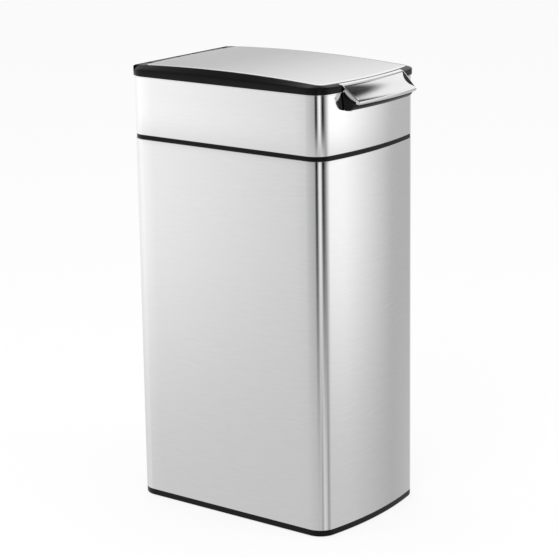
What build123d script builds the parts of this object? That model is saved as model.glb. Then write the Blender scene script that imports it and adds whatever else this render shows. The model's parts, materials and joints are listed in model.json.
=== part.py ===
from build123d import *

import os
from math import asin, degrees, sqrt

# A slim floor-standing kitchen bin, opened by a touch bar. A steel body stands on a plastic base and
# holds the bag. A steel ring on top of it tips back on two rear hinges so that the bag can be changed.
# The ring carries the lid, which turns on a pin under the rear cover, and the touch bar, which turns
# on a pin behind the ring's front wall and frees the lid when its lip is pressed down.
#
# All sizes are in millimetres. X runs across the bin, -Y is the front with the touch bar, +Z is up.
# The pieces are drawn about the middle of the plan and moved along Y at the end, so that the origin
# lies on the floor under the middle of the overall box.

# ---------------------------------------------------------------------------------------------------
# Driving dimensions
# ---------------------------------------------------------------------------------------------------

# Plan of the bin
WIDTH = 237.0  # between the flat sides
DEPTH = 340.2  # from the flat back to the front's corners
FRONT_BOW = 14.0  # how far the middle of the front stands past its corners
CORNER_R = 27.0  # upright corners
SMALLEST_R = 2.0  # least corner radius of a plan that is drawn in

# Heights
FOOT_STAND = 1.0  # feet below the base tray
BASE_TOP = 10.6  # visible black base
SHELL_TOP = 545.8  # upper edge of the steel body
SEAM = 6.4  # black seam between the body and the ring
RING_HEIGHT = 85.2  # steel ring
LIP_HEIGHT = 8.6  # upright lip of the lid's frame
CROWN_RISE = 18.3  # lid's highest line above the ring

# Sheet and moulded walls
STEEL = 0.8
ROLL_IN = 4.5  # steel edges rolled inwards at the seam and under the lid
EDGE_R = 0.7  # outer radius of a rolled steel edge
WALL = 2.4  # moulded walls
THIN_WALL = 1.8  # skirts, liners and ribs
FIT = 0.4  # loose clearance between moulded pieces and steel
SLIP = 0.2  # close clearance of a piece in its pocket
PARTING = 0.4  # gap between two bodies that part
RUNNING = 0.05  # radial clearance of a turning pin
SEATED = 0.02  # radial clearance of a fixed pin or screw

# Base
BASE_BAND = 3.2  # thickness of the visible band
BASE_INSET = 0.2  # band behind the steel's face
BASE_EDGE_R = 2.0  # rounded lower edge
BASE_FLOOR = 6.0  # underside of the bin's floor
BASE_UPSTAND = 24.0  # upstand inside the steel
RIB_PITCH_X = 70.0  # ribs under the floor
RIB_PITCH_Y = 110.0
FOOT_R = 9.0
FOOT_THICK = 3.0
FOOT_INSET = 34.0  # foot centres from the sides, the back and the front's corners

# Body rim and bag rim
SEAM_INSET = 0.8  # seam band behind the steel's faces
RIM_DROP = 40.0  # rim's wall inside the body
SHELF_DROP = 15.0  # shelf for the bag rim, below the seam
SHELF_WIDTH = 4.5
BAG_RIM_FLANGE = 4.4
BAG_RIM_BELOW = 1.2  # bag rim's top below the seam's parting line
BAG_RIM_GRIP = 46.0  # width of the finger dips in the bag rim
BAG_RIM_DIP = 8.0

# Ring hinges at the back
HINGE_IN = 46.5  # middle of each hinge in from the sides
HINGE_STAND = 5.6  # axis behind the back
KNUCKLE_R = 5.0
KNUCKLE_W = 10.0  # each of a hinge's three knuckles
KNUCKLE_GAP = 0.3
RING_PIN_R = 2.0

# Ring
GROOVE_DROP = 1.6  # fine groove under the ring's top edge
GROOVE_W = 0.7
GROOVE_DEPTH = 0.25
THROAT_SIDE_IN = 27.0  # opening for waste, in from the sides
THROAT_FRONT_IN = 42.0  # in from the front's crown
THROAT_BACK_IN = 38.0  # in from the back
THROAT_R = 24.0
THROAT_SKIRT = 26.0
WINDOW_HALF = 49.0  # window in the ring's front for the bar's arms
WINDOW_LOW_DROP = 22.9  # its lower edge below the ring's top
WINDOW_HIGH_DROP = 6.4
POCKET_FRONT_IN = 12.7  # opening in the deck for the latch, in from the front's crown
POCKET_BACK_IN = 36.5
TAB_PITCH = 55.0  # three tabs that hold the rear cover
TAB_HALF = 7.0
TAB_T = 1.8
TAB_DROP = 4.0  # below the deck

# Lid
OVERHANG = 1.5  # lip outside the ring
PANEL_SIDE = 12.0  # panel's sides in from the body's sides
PANEL_FRONT = 9.5  # middle of the panel's front in from the body's front
PANEL_BACK = 18.5  # middle of the panel's back in from the body's back
PANEL_FRONT_BOW = 10.0
PANEL_BACK_BOW = 6.0
PANEL_R = 10.0
PANEL_T = 0.8
PANEL_PROUD = 0.3  # panel above the frame's band
ARCH_Y = 20.5  # where the lid's arch is highest
ARCH_R = 2666.0
LID_AXIS_BACK = 12.2  # lid's axis in from the back
ROLL_R = 5.0  # rolled back edge of the lid, about the axis
ROLL_GAP = 0.4
LID_PIN_R = 2.0
LID_PIN_IN = 23.5  # ends of the lid's pin in from the sides
LUG_INNER = 20.0  # ring's inner lugs for the lid pin, from the middle
LUG_OUTER_IN = 32.5  # ring's outer lugs in from the sides
LUG_W = 7.0
LUG_GAP = 0.4
LINER_DROP = 7.5  # lid liner's skirt in the throat
LINER_GAP = 2.0  # around the skirt
LINER_INSET = 1.5  # liner inside the lid's lip
SCREW_IN = 7.5  # liner's screws in from the throat's sides
SCREW_END_IN = 22.0  # and from its ends
SCREW_R = 1.5
SCREW_HEAD_R = 2.6
SCREW_HEAD_H = 1.8
BUMPER_SIDE_IN = 14.5  # rubber pads in from the sides
BUMPER_FRONT_IN = 54.0  # and from the front's crown
BUMPER_R = 4.0
BUMPER_GAP = 0.3  # above the ring's deck

# Touch bar
BAR_HALF_TOP = 76.5  # half width at the top edge
BAR_HALF_LIP = 70.0  # half width at the lip
BAR_TOP_REACH = -6.7  # rear edge of the top flange: minus is behind the ring's front face
BAR_TOP_RISE = 10.8  # top flange above the ring's top
FLANGE_T = 1.2
BAR_REACH = 25.0  # lip in front of the ring's front face
BAR_LIP_DROP = 13.6  # lip's nose below the ring's top
BAR_END = 5.0  # thickness of the bar's raised ends
BAR_ROOM = 0.8  # between the bar's ends and the lid's lip
BAR_CUT = 7.9  # lid's frame behind the bar, in from the body's front
BAR_WALL = 1.6
CARRIER_HALF_TOP = 78.0
CARRIER_HALF_FOOT = 72.0
CARRIER_FOOT_DROP = 25.9  # underside of the carrier below the ring's top
CARRIER_GAP = 1.6  # carrier in front of the steel ring
PIVOT_BACK = 19.2  # bar's axis behind the front's crown
PIVOT_DROP = 16.4  # and below the ring's top
PIVOT_PIN_R = 2.0
PIVOT_BOSS_R = 5.0
ARM_X = 41.0
ARM_W = 6.0
ARM_BELOW = 3.0
ARM_ABOVE = 6.0
HOOK_STEM = 6.0
CARRIER_FOOT_REACH = 8.0
PIVOT_LUG_X = 53.0
PIVOT_LUG_W = 5.0
HOOK_HALF = 7.0
CATCH_R = 2.0
CATCH_ROOM = 1.5  # beside the hook, and beside the catch in the deck's pocket
CATCH_DROP = 5.0  # catch's bar below the ring's top
CATCH_BACK = 2.6  # behind the catch's bar in the deck's pocket
CATCH_REACH = 0.5  # nose stops this far short of the catch
NOSE_GAP = 0.5  # nose above the catch
NOSE_H = 1.8
BAR_SCREW_X = 68.5
BAR_SCREW_REACH = 9.0
BAR_SCREW_DROP = 6.4  # screws' ends below the ring's top

# Springs
LID_SPRING_WIRE = 0.9
LID_SPRING_R = 2.95  # middle of the wire
LID_SPRING_TURNS = 10
LID_SPRING_LEG = 17.0  # straight leg under the lid
TANG_IN = 1.5  # tang's end inside a lug
BAR_SPRING_WIRE = 0.9
BAR_SPRING_R = 2.95
BAR_SPRING_TURNS = 8
BAR_SPRING_X = 14.0  # first turn
SPRING_PITCH = 1.5
BEND_R = 0.6  # rounded bend where a leg leaves the coil

# ---------------------------------------------------------------------------------------------------
# Places worked out from the sizes
# ---------------------------------------------------------------------------------------------------

HALF = WIDTH / 2
BACK = DEPTH / 2
FRONT_R = (HALF**2 + FRONT_BOW**2) / (2 * FRONT_BOW)  # radius of the bowed front
FRONT_CROWN = -(BACK + FRONT_BOW)
FRONT_CENTRE = FRONT_CROWN + FRONT_R

RING_BOTTOM = SHELL_TOP + SEAM
RING_TOP = RING_BOTTOM + RING_HEIGHT
SEAM_MIDDLE = SHELL_TOP + SEAM / 2
LIP_TOP = RING_TOP + LIP_HEIGHT
LID_BOTTOM = RING_TOP + PARTING
CROWN_Z = RING_TOP + CROWN_RISE

FRAME_OUT = ROLL_IN + FIT  # moulded walls stand just inside the rolled steel edges
FRAME_IN = FRAME_OUT + WALL

HINGE_Y = BACK + HINGE_STAND
LID_AXIS_Y = BACK - LID_AXIS_BACK
PIVOT_Y = FRONT_CROWN + PIVOT_BACK
PIVOT_Z = RING_TOP - PIVOT_DROP
THROAT_HALF = HALF - THROAT_SIDE_IN
THROAT_FRONT = FRONT_CROWN + THROAT_FRONT_IN
THROAT_BACK = BACK - THROAT_BACK_IN
POCKET_FRONT = FRONT_CROWN + POCKET_FRONT_IN
POCKET_BACK = FRONT_CROWN + POCKET_BACK_IN
LUG_OUTER = HALF - LUG_OUTER_IN
LUG_X = (-LUG_OUTER, -LUG_INNER, LUG_INNER, LUG_OUTER)
BAR_TOP = RING_TOP + BAR_TOP_RISE
BAR_LIP = RING_TOP - BAR_LIP_DROP
CARRIER_FOOT = RING_TOP - CARRIER_FOOT_DROP
CATCH_Y = POCKET_BACK - CATCH_R - CATCH_BACK
CATCH_Z = RING_TOP - CATCH_DROP
CATCH_HALF = HOOK_HALF + CATCH_ROOM + 2 * CATCH_R
LINER_LOW = LID_BOTTOM + 0.6
LINER_TOP = LINER_LOW + THIN_WALL
SCREW_TOP = LIP_TOP + 1.0  # end of the screw holes in the lid's frame

BIG = 2 * (WIDTH + DEPTH)  # longer than anything that it cuts


def arch_z(y, drop=0.0):
    """Height of the lid's arch at y, on a cylinder across the bin, lowered by drop."""
    return CROWN_Z - ARCH_R + sqrt((ARCH_R - drop) ** 2 - (y - ARCH_Y) ** 2)


LID_AXIS_Z = arch_z(LID_AXIS_Y, PANEL_PROUD) - ROLL_R

# The plan's middle is moved by this much, so that the overall depth is centred on the origin.
FRONT_END = FRONT_CROWN - BAR_REACH
BACK_END = HINGE_Y + KNUCKLE_R
PLAN_Y = -(FRONT_END + BACK_END) / 2


# ---------------------------------------------------------------------------------------------------
# Helpers
# ---------------------------------------------------------------------------------------------------


def side_front(inset):
    """Where a side drawn in by inset meets the bowed front drawn in by as much."""
    return FRONT_CENTRE - sqrt((FRONT_R - inset) ** 2 - (HALF - inset) ** 2)


def plan(inset):
    """Face of the bin's plan drawn in by inset: flat sides and back, bowed front, round corners."""
    half = HALF - inset
    back = BACK - inset
    front = side_front(inset)
    sides = Polyline((-half, front), (-half, back), (half, back), (half, front))
    bow = ThreePointArc((half, front), (0, FRONT_CROWN + inset), (-half, front))
    face = make_face([sides, bow])
    return fillet(face.vertices(), max(CORNER_R - inset, SMALLEST_R))


def prism(face, low, high):
    """Upright prism of a flat face between two heights."""
    return extrude(Pos(0, 0, low) * face, amount=high - low)


def band(outer, inner, low, high):
    """Upright wall between the plan drawn in by outer and by inner."""
    return prism(plan(outer), low, high) - prism(plan(inner), low - 1, high + 1)


def block(x, y, z):
    """Box from three pairs of low and high places."""
    size = [high - low for low, high in (x, y, z)]
    middle = [(high + low) / 2 for low, high in (x, y, z)]
    return Pos(*middle) * Box(*size)


def rod_x(x, y, z, radius):
    """Cylinder along X between the pair x, centred on y and z."""
    length = x[1] - x[0]
    return Pos((x[0] + x[1]) / 2, y, z) * Rot(0, 90, 0) * Cylinder(radius, length)


def rod_y(x, y, z, radius):
    """Cylinder along Y between the pair y, centred on x and z."""
    return Pos(x, (y[0] + y[1]) / 2, z) * Rot(90, 0, 0) * Cylinder(radius, y[1] - y[0])


def rod_z(x, y, z, radius):
    """Cylinder along Z between the pair z, centred on x and y."""
    return Pos(x, y, (z[0] + z[1]) / 2) * Cylinder(radius, z[1] - z[0])


def round_rect(half, front, back, radius, inset=0.0):
    """Face of a rounded rectangle, drawn in by inset."""
    width = 2 * (half - inset)
    depth = back - front - 2 * inset
    return Pos(0, (front + back) / 2) * RectangleRounded(width, depth, max(radius - inset, SMALLEST_R))


def across(face):
    """Solid of a face in the YZ plane, drawn out to both sides."""
    return extrude(face, amount=HALF + 30, dir=(1, 0, 0), both=True)


def under_arch(drop):
    """Everything below the lid's arch lowered by drop."""
    front, back, low = FRONT_CROWN - 20, BACK + 20, SHELL_TOP
    sides = Polyline(
        (0, front, arch_z(front, drop)), (0, front, low), (0, back, low), (0, back, arch_z(back, drop))
    )
    top = ThreePointArc(
        (0, back, arch_z(back, drop)), (0, ARCH_Y, CROWN_Z - drop), (0, front, arch_z(front, drop))
    )
    return across(make_face([sides, top]))


def around_front(face, half_width):
    """Solid of a face in the YZ plane, carried along the front's bow to half_width on each side."""
    half_turn = degrees(asin(half_width / FRONT_R))
    axis = Axis((0, FRONT_CENTRE, 0), (0, 0, 1))
    turned = revolve(face, axis, 2 * half_turn)
    return Pos(0, FRONT_CENTRE, 0) * Rot(0, 0, -half_turn) * Pos(0, -FRONT_CENTRE, 0) * turned


def out_front(reach, z):
    """Point in the YZ plane, reach in front of the front's crown."""
    return (0, FRONT_CROWN - reach, z)


def by_ring_top(reach, rise):
    """Point in the YZ plane, reach in front of the front's crown and rise above the ring's top."""
    return out_front(reach, RING_TOP + rise)


def tapered_ends(half_top, z_top, half_low, z_low, inset=0.0):
    """Everything between two sloping end planes, given by their half widths at two heights."""
    slope = (half_top - half_low) / (z_top - z_low)
    high, low = z_top + 40, z_low - 40
    wide = half_top + 40 * slope - inset
    narrow = half_low - 40 * slope - inset
    corners = [(-wide, 0, high), (wide, 0, high), (narrow, 0, low), (-narrow, 0, low)]
    face = make_face(Polyline(*corners, close=True))
    return extrude(face, amount=BIG / 2, dir=(0, 1, 0), both=True)


def rolled(low, high, both):
    """Solid of the body's plan with its top edge rounded, and its bottom edge too if both."""
    solid = prism(plan(0), low, high)
    levels = solid.edges().group_by(Axis.Z)
    edges = levels[-1] + levels[0] if both else levels[-1]
    return fillet(edges, EDGE_R)


def coil(x0, y, z, radius, wire, turns):
    """Close-wound torsion spring along X from x0: one unbroken helix, with a rounded bend at each end."""
    path = Helix(SPRING_PITCH, SPRING_PITCH * turns, radius)
    start = path @ 0
    section = Plane(origin=start, z_dir=path % 0) * Circle(wire / 2)
    spring = Pos(x0, y, z) * Rot(0, 90, 0) * sweep(section, path=path)
    for x in (x0, x0 + SPRING_PITCH * turns):
        spring += Pos(x, y, z - radius) * Rot(0, 0, 180) * Sphere(BEND_R)
    return spring


# ---------------------------------------------------------------------------------------------------
# Body
# ---------------------------------------------------------------------------------------------------


def foot_places():
    """Centres of the four feet."""
    x = HALF - FOOT_INSET
    front = -BACK + FOOT_INSET
    return [(side * x, y) for side in (-1, 1) for y in (front, BACK - FOOT_INSET)]


def base_tray():
    """Black moulded base: visible band, ribbed floor, foot bosses and an upstand inside the steel."""
    bottom = FOOT_STAND
    tray = prism(plan(BASE_INSET), bottom, BASE_TOP)
    lower = tray.edges().group_by(Axis.Z)[0]
    tray = fillet(lower, BASE_EDGE_R)
    hollow = prism(plan(BASE_INSET + BASE_BAND), bottom - 1, BASE_FLOOR)
    ribs = Part()
    for x in (-RIB_PITCH_X, 0.0, RIB_PITCH_X):
        ribs += block((x - THIN_WALL / 2, x + THIN_WALL / 2), (-BIG, BIG), (bottom + 1, BASE_FLOOR))
    for y in (-RIB_PITCH_Y, 0.0, RIB_PITCH_Y):
        ribs += block((-BIG, BIG), (y - THIN_WALL / 2, y + THIN_WALL / 2), (bottom + 1, BASE_FLOOR))
    for x, y in foot_places():
        ribs += rod_z(x, y, (bottom + 1, BASE_FLOOR), FOOT_R + WALL)
    tray -= hollow - ribs
    tray -= prism(plan(STEEL + SLIP + WALL), BASE_FLOOR + WALL, BASE_TOP + 1)
    tray += band(STEEL + SLIP, STEEL + SLIP + WALL, BASE_FLOOR + WALL, BASE_TOP + BASE_UPSTAND)
    for x, y in foot_places():
        tray -= rod_z(x, y, (0, FOOT_THICK), FOOT_R + SLIP)
    return tray


def base_feet():
    """Four rubber pads in the base's pockets."""
    return [rod_z(x, y, (0, FOOT_THICK), FOOT_R) for x, y in foot_places()]


def body_shell():
    """Steel wrap of the body, with its upper edge rolled inwards."""
    shell = rolled(BASE_TOP, SHELL_TOP, False)
    shell -= prism(plan(STEEL), BASE_TOP - 1, SHELL_TOP - STEEL)
    return shell - prism(plan(ROLL_IN), SHELL_TOP - STEEL - 1, SHELL_TOP + 1)


def hinge_sides():
    """Middles of the two rear hinges."""
    return (HINGE_IN - HALF, HALF - HINGE_IN)


def body_rim():
    """Black rim on the steel body: seam band, inner wall, shelf and the outer knuckles of the hinges."""
    top = SEAM_MIDDLE - PARTING / 2
    rim = band(SEAM_INSET, FRAME_IN, SHELL_TOP, top)
    rim += band(FRAME_OUT, FRAME_IN, SHELL_TOP - RIM_DROP, top)
    shelf = SHELL_TOP - SHELF_DROP
    rim += band(FRAME_IN - 0.1, FRAME_IN + SHELF_WIDTH, shelf - THIN_WALL, shelf)
    for middle in hinge_sides():
        for side in (-1, 1):
            x = middle + side * (KNUCKLE_W + KNUCKLE_GAP)
            ends = (x - KNUCKLE_W / 2, x + KNUCKLE_W / 2)
            rim += block(ends, (BACK - FRAME_IN, HINGE_Y), (SHELL_TOP, top))
            rim += rod_x(ends, HINGE_Y, SEAM_MIDDLE, KNUCKLE_R)
            rim -= rod_x(ends, HINGE_Y, SEAM_MIDDLE, RING_PIN_R + SEATED)
    return rim


def bag_rim():
    """Lift-out rim that grips the bag's edge: a wall with an outward flange and two finger dips."""
    shelf = SHELL_TOP - SHELF_DROP
    top = SEAM_MIDDLE - BAG_RIM_BELOW
    inner = FRAME_IN + FIT + BAG_RIM_FLANGE
    rim = band(inner - THIN_WALL, inner, shelf, top)
    rim += band(FRAME_IN + FIT, inner, top - THIN_WALL, top)
    for side in (-1, 1):
        x = side * (HALF - inner + THIN_WALL / 2)
        rim -= block(
            (x - THIN_WALL, x + THIN_WALL), (-BAG_RIM_GRIP / 2, BAG_RIM_GRIP / 2), (shelf - 1, shelf + BAG_RIM_DIP)
        )
    return rim


def ring_hinge_pins():
    """Steel pins of the two rear hinges, each with a head at its outer end."""
    pins = []
    reach = 1.5 * KNUCKLE_W + KNUCKLE_GAP
    for middle in hinge_sides():
        side = 1 if middle > 0 else -1
        outer = middle + side * reach
        inner = middle - side * reach
        pin = rod_x(sorted((inner, outer)), HINGE_Y, SEAM_MIDDLE, RING_PIN_R)
        head = rod_x(sorted((outer, outer + side * 1.2)), HINGE_Y, SEAM_MIDDLE, RING_PIN_R * 1.6)
        pins.append(pin + head)
    return pins


# ---------------------------------------------------------------------------------------------------
# Ring
# ---------------------------------------------------------------------------------------------------


def window():
    """Opening in the ring's front wall that the bar's arms pass through, hidden behind the bar."""
    front = (FRONT_CROWN - 5, FRONT_CROWN + FRAME_IN + 12)
    height = (RING_TOP - WINDOW_LOW_DROP, RING_TOP - WINDOW_HIGH_DROP)
    return block((-WINDOW_HALF, WINDOW_HALF), front, height)


def ring_shell():
    """Steel wrap of the ring, rolled inwards at both edges, with a fine groove and the bar's window."""
    shell = rolled(RING_BOTTOM, RING_TOP, True)
    shell -= prism(plan(STEEL), RING_BOTTOM + STEEL, RING_TOP - STEEL)
    shell -= prism(plan(ROLL_IN), RING_BOTTOM - 1, RING_TOP + 1)
    groove_top = RING_TOP - GROOVE_DROP
    shell -= band(-1, GROOVE_DEPTH, groove_top - GROOVE_W, groove_top)
    return shell - window()


def lug_x(middle):
    """Ends of a lid lug along X."""
    return (middle - LUG_W / 2, middle + LUG_W / 2)


def cover_tabs(slack):
    """Three tabs that hold the rear cover, or with slack the slots that take them."""
    front = LID_AXIS_Y + ROLL_GAP + 1.2
    depth = (front - slack, front + TAB_T + slack)
    tabs = []
    for x in (-TAB_PITCH, 0.0, TAB_PITCH):
        ends = (x - TAB_HALF - slack, x + TAB_HALF + slack)
        tabs.append(block(ends, depth, (RING_TOP - WALL - TAB_DROP, RING_TOP + 1)))
    return tabs


def ring_frame():
    """Black moulding inside the ring: seam band, wall, deck, throat, lid lugs, bar lugs, hinge knuckles."""
    low = SEAM_MIDDLE + PARTING / 2
    deck = RING_TOP - WALL
    frame = band(SEAM_INSET, FRAME_IN, low, RING_BOTTOM)
    frame += band(FRAME_OUT, FRAME_IN, low, RING_TOP)
    frame += prism(plan(FRAME_OUT), deck, RING_TOP)
    throat = round_rect(THROAT_HALF, THROAT_FRONT, THROAT_BACK, THROAT_R)
    skirt = round_rect(THROAT_HALF, THROAT_FRONT, THROAT_BACK, THROAT_R, -THIN_WALL)
    frame += prism(skirt, RING_TOP - THROAT_SKIRT, RING_TOP)
    frame -= prism(throat, RING_TOP - THROAT_SKIRT - 1, RING_TOP + 1)
    frame -= window()
    pocket_half = CATCH_HALF + CATCH_ROOM
    frame -= block((-pocket_half, pocket_half), (POCKET_FRONT, POCKET_BACK), (deck - 1, RING_TOP + 1))
    for tab in cover_tabs(SLIP):
        frame -= tab
    for x in LUG_X:
        ends = lug_x(x)
        lug = block(ends, (LID_AXIS_Y - ROLL_R + 1, LID_AXIS_Y + ROLL_R - 1), (deck, LID_AXIS_Z))
        lug += rod_x(ends, LID_AXIS_Y, LID_AXIS_Z, ROLL_R - 0.4)
        frame += lug - rod_x(ends, LID_AXIS_Y, LID_AXIS_Z, LID_PIN_R + SEATED)
    tang_room = LID_SPRING_WIRE / 2 + SEATED
    frame -= rod_x((LUG_INNER - LUG_W, LUG_INNER), LID_AXIS_Y, LID_AXIS_Z - LID_SPRING_R, tang_room)
    for side in (-1, 1):
        x = side * PIVOT_LUG_X
        ends = (x - PIVOT_LUG_W / 2, x + PIVOT_LUG_W / 2)
        lug = block(ends, (PIVOT_Y - PIVOT_BOSS_R, PIVOT_Y + PIVOT_BOSS_R), (PIVOT_Z, deck + 0.5))
        lug += rod_x(ends, PIVOT_Y, PIVOT_Z, PIVOT_BOSS_R)
        frame += lug - rod_x(ends, PIVOT_Y, PIVOT_Z, PIVOT_PIN_R + SEATED)
    for middle in hinge_sides():
        ends = (middle - KNUCKLE_W / 2, middle + KNUCKLE_W / 2)
        frame += block(ends, (BACK - FRAME_IN, HINGE_Y), (low, RING_BOTTOM))
        frame += rod_x(ends, HINGE_Y, SEAM_MIDDLE, KNUCKLE_R)
        frame -= rod_x(ends, HINGE_Y, SEAM_MIDDLE, RING_PIN_R + RUNNING)
    return frame


def side_slopes():
    """Everything below the lid's sloping side bands, lofted along the bin between upright sections."""
    outer, inner = HALF + OVERHANG, HALF - PANEL_SIDE
    places = [FRONT_CROWN - 10 + n * (BACK - FRONT_CROWN + 20) / 8 for n in range(9)]
    sections = []
    for y in places:
        top = arch_z(y, PANEL_PROUD)
        half = [(outer + 4, SHELL_TOP), (outer + 4, LIP_TOP), (outer, LIP_TOP), (inner, top)]
        points = [(x, y, z) for x, z in half] + [(-x, y, z) for x, z in reversed(half)]
        sections.append(make_face(Polyline(*points, close=True)))
    return loft(sections, ruled=True)


def above_front_slope():
    """Everything above the lid's sloping front band, carried along the front's bow."""
    inner_z = arch_z(FRONT_CROWN + PANEL_FRONT, PANEL_PROUD)
    rise = (inner_z - LIP_TOP) / (PANEL_FRONT + OVERHANG)
    outside, inside = OVERHANG + 3, 60.0
    face = make_face(
        Polyline(
            out_front(outside, LIP_TOP - 3 * rise),
            out_front(-inside, LIP_TOP + (inside + OVERHANG) * rise),
            out_front(-inside, CROWN_Z + 30),
            out_front(outside, CROWN_Z + 30),
            close=True,
        )
    )
    return around_front(face, HALF + 30)


def lid_outside():
    """Outer form that the lid's frame and the rear cover share."""
    form = prism(plan(-OVERHANG), RING_TOP, CROWN_Z + 5)
    return (form & side_slopes()) - above_front_slope()


def panel_face(inset=0.0):
    """Face of the lid panel's plan: straight sides, ends bowed outwards, round corners."""
    half = HALF - PANEL_SIDE - inset
    front = FRONT_CROWN + PANEL_FRONT + inset
    back = BACK - PANEL_BACK - inset
    left, right = (-half, front + PANEL_FRONT_BOW), (half, front + PANEL_FRONT_BOW)
    back_left, back_right = (-half, back - PANEL_BACK_BOW), (half, back - PANEL_BACK_BOW)
    edges = [
        Line(back_left, left),
        ThreePointArc(left, (0, front), right),
        Line(right, back_right),
        ThreePointArc(back_right, (0, back), back_left),
    ]
    face = make_face(edges)
    return fillet(face.vertices(), max(PANEL_R - inset, SMALLEST_R))


def rear_cover():
    """Black cover behind the lid, fixed to the ring: it carries on the lid's lip around the back."""
    cover = lid_outside()
    cover -= block((-BIG, BIG), (-BIG, LID_AXIS_Y + ROLL_GAP), (0, BIG))
    slope_y = LID_AXIS_Y + ROLL_R + ROLL_GAP
    slope_z = arch_z(slope_y, PANEL_PROUD)
    cover -= block((-BIG, BIG), (-BIG, slope_y), (LID_AXIS_Z, BIG))
    above = make_face(
        Polyline(
            (0, slope_y, slope_z),
            (0, BACK + OVERHANG, LIP_TOP),
            (0, BACK + 20, LIP_TOP),
            (0, BACK + 20, CROWN_Z + 20),
            (0, slope_y, CROWN_Z + 20),
            close=True,
        )
    )
    cover -= across(above)
    cover -= rod_x((-BIG / 2, BIG / 2), LID_AXIS_Y, LID_AXIS_Z, ROLL_R + ROLL_GAP)
    hollow_x = HALF - CORNER_R
    hollow_y = (slope_y + THIN_WALL, BACK + OVERHANG - WALL)
    cover -= block((-hollow_x, hollow_x), hollow_y, (RING_TOP - 1, LIP_TOP - WALL))
    for x in LUG_X:
        ends = lug_x(x)
        gap = (ends[0] - LUG_GAP, ends[1] + LUG_GAP)
        cover -= block(gap, (0, LID_AXIS_Y + ROLL_R), (0, LID_AXIS_Z))
    for tab in cover_tabs(0.0):
        cover += tab
    return cover


def lid_hinge_pin():
    """Steel rod that the lid turns on."""
    half = HALF - LID_PIN_IN
    return rod_x((-half, half), LID_AXIS_Y, LID_AXIS_Z, LID_PIN_R)


def lid_spring():
    """Torsion spring around the lid pin: a tang in a lug, a close coil and a leg under the lid."""
    half = SPRING_PITCH * LID_SPRING_TURNS / 2
    low = LID_AXIS_Z - LID_SPRING_R
    spring = coil(-half, LID_AXIS_Y, LID_AXIS_Z, LID_SPRING_R, LID_SPRING_WIRE, LID_SPRING_TURNS)
    spring += rod_y(-half, (LID_AXIS_Y - LID_SPRING_LEG, LID_AXIS_Y), low, LID_SPRING_WIRE / 2)
    spring += rod_x((half, LUG_INNER - LUG_W / 2 + TANG_IN), LID_AXIS_Y, low, LID_SPRING_WIRE / 2)
    return spring


# ---------------------------------------------------------------------------------------------------
# Lid
# ---------------------------------------------------------------------------------------------------


def in_front(inset, half):
    """Everything within half of the middle and in front of the plan drawn in by inset."""
    return block((-half, half), (-BIG, 0), (0, BIG)) - prism(plan(inset), 0, CROWN_Z + 10)


def lid_frame():
    """Black frame of the lid: lip, sloping bands, seat for the panel and the rolled back edge."""
    frame = lid_outside()
    frame -= block((-BIG, BIG), (-BIG, BIG), (0, LID_BOTTOM))
    behind = block((-BIG, BIG), (LID_AXIS_Y, BIG), (0, BIG))
    roll = rod_x((-BIG / 2, BIG / 2), LID_AXIS_Y, LID_AXIS_Z, ROLL_R)
    frame -= behind - roll
    frame -= prism(panel_face(-SLIP), LID_BOTTOM, CROWN_Z + 5) - under_arch(PANEL_T)
    frame -= prism(panel_face(WALL), LID_BOTTOM - 1, CROWN_Z) & under_arch(PANEL_T + WALL)
    room_half = BAR_HALF_TOP + BAR_ROOM
    hollow = prism(plan(WALL - OVERHANG), LID_BOTTOM - 1, LIP_TOP - WALL)
    hollow &= block((-BIG, BIG), (-BIG, LID_AXIS_Y - ROLL_R - WALL), (0, BIG))
    frame -= hollow - in_front(BAR_CUT + BAR_WALL, room_half + BAR_WALL)
    frame -= in_front(BAR_CUT, room_half)
    for x in LUG_X:
        ends = lug_x(x)
        gap = (ends[0] - LUG_GAP, ends[1] + LUG_GAP)
        frame -= block(gap, (LID_AXIS_Y - ROLL_R - LUG_GAP, BIG), (0, BIG))
    frame -= rod_x((-BIG / 2, BIG / 2), LID_AXIS_Y, LID_AXIS_Z, LID_PIN_R + RUNNING)
    spring_half = LUG_INNER - LUG_W / 2
    spring_room = LID_SPRING_R + LID_SPRING_WIRE / 2 + SLIP
    frame -= rod_x((-spring_half, spring_half), LID_AXIS_Y, LID_AXIS_Z, spring_room)
    leg_x = -SPRING_PITCH * LID_SPRING_TURNS / 2
    leg_y = (LID_AXIS_Y - LID_SPRING_LEG - SLIP, LID_AXIS_Y)
    leg_z = LID_AXIS_Z - LID_SPRING_R
    leg_room = LID_SPRING_WIRE / 2 + SLIP
    frame -= block((leg_x - leg_room, leg_x + leg_room), leg_y, (leg_z - leg_room, leg_z + leg_room))
    for x, y in screw_places():
        boss = rod_z(x, y, (LINER_TOP, arch_z(y, PANEL_T + WALL) + 0.5), SCREW_HEAD_R)
        frame += boss - rod_z(x, y, (0, SCREW_TOP), SCREW_R + SEATED)
    return frame


def lid_panel():
    """Brushed steel panel, arched along the bin."""
    panel = prism(panel_face(), LIP_TOP - 10, CROWN_Z + 5)
    return (panel & under_arch(0.0)) - under_arch(PANEL_T)


def screw_places():
    """Screws that hold the liner under the lid."""
    x = THROAT_HALF - SCREW_IN
    front, back = THROAT_FRONT + SCREW_END_IN, THROAT_BACK - SCREW_END_IN
    return [(side * x, y) for side in (-1, 1) for y in (front, (front + back) / 2, back)]


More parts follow.
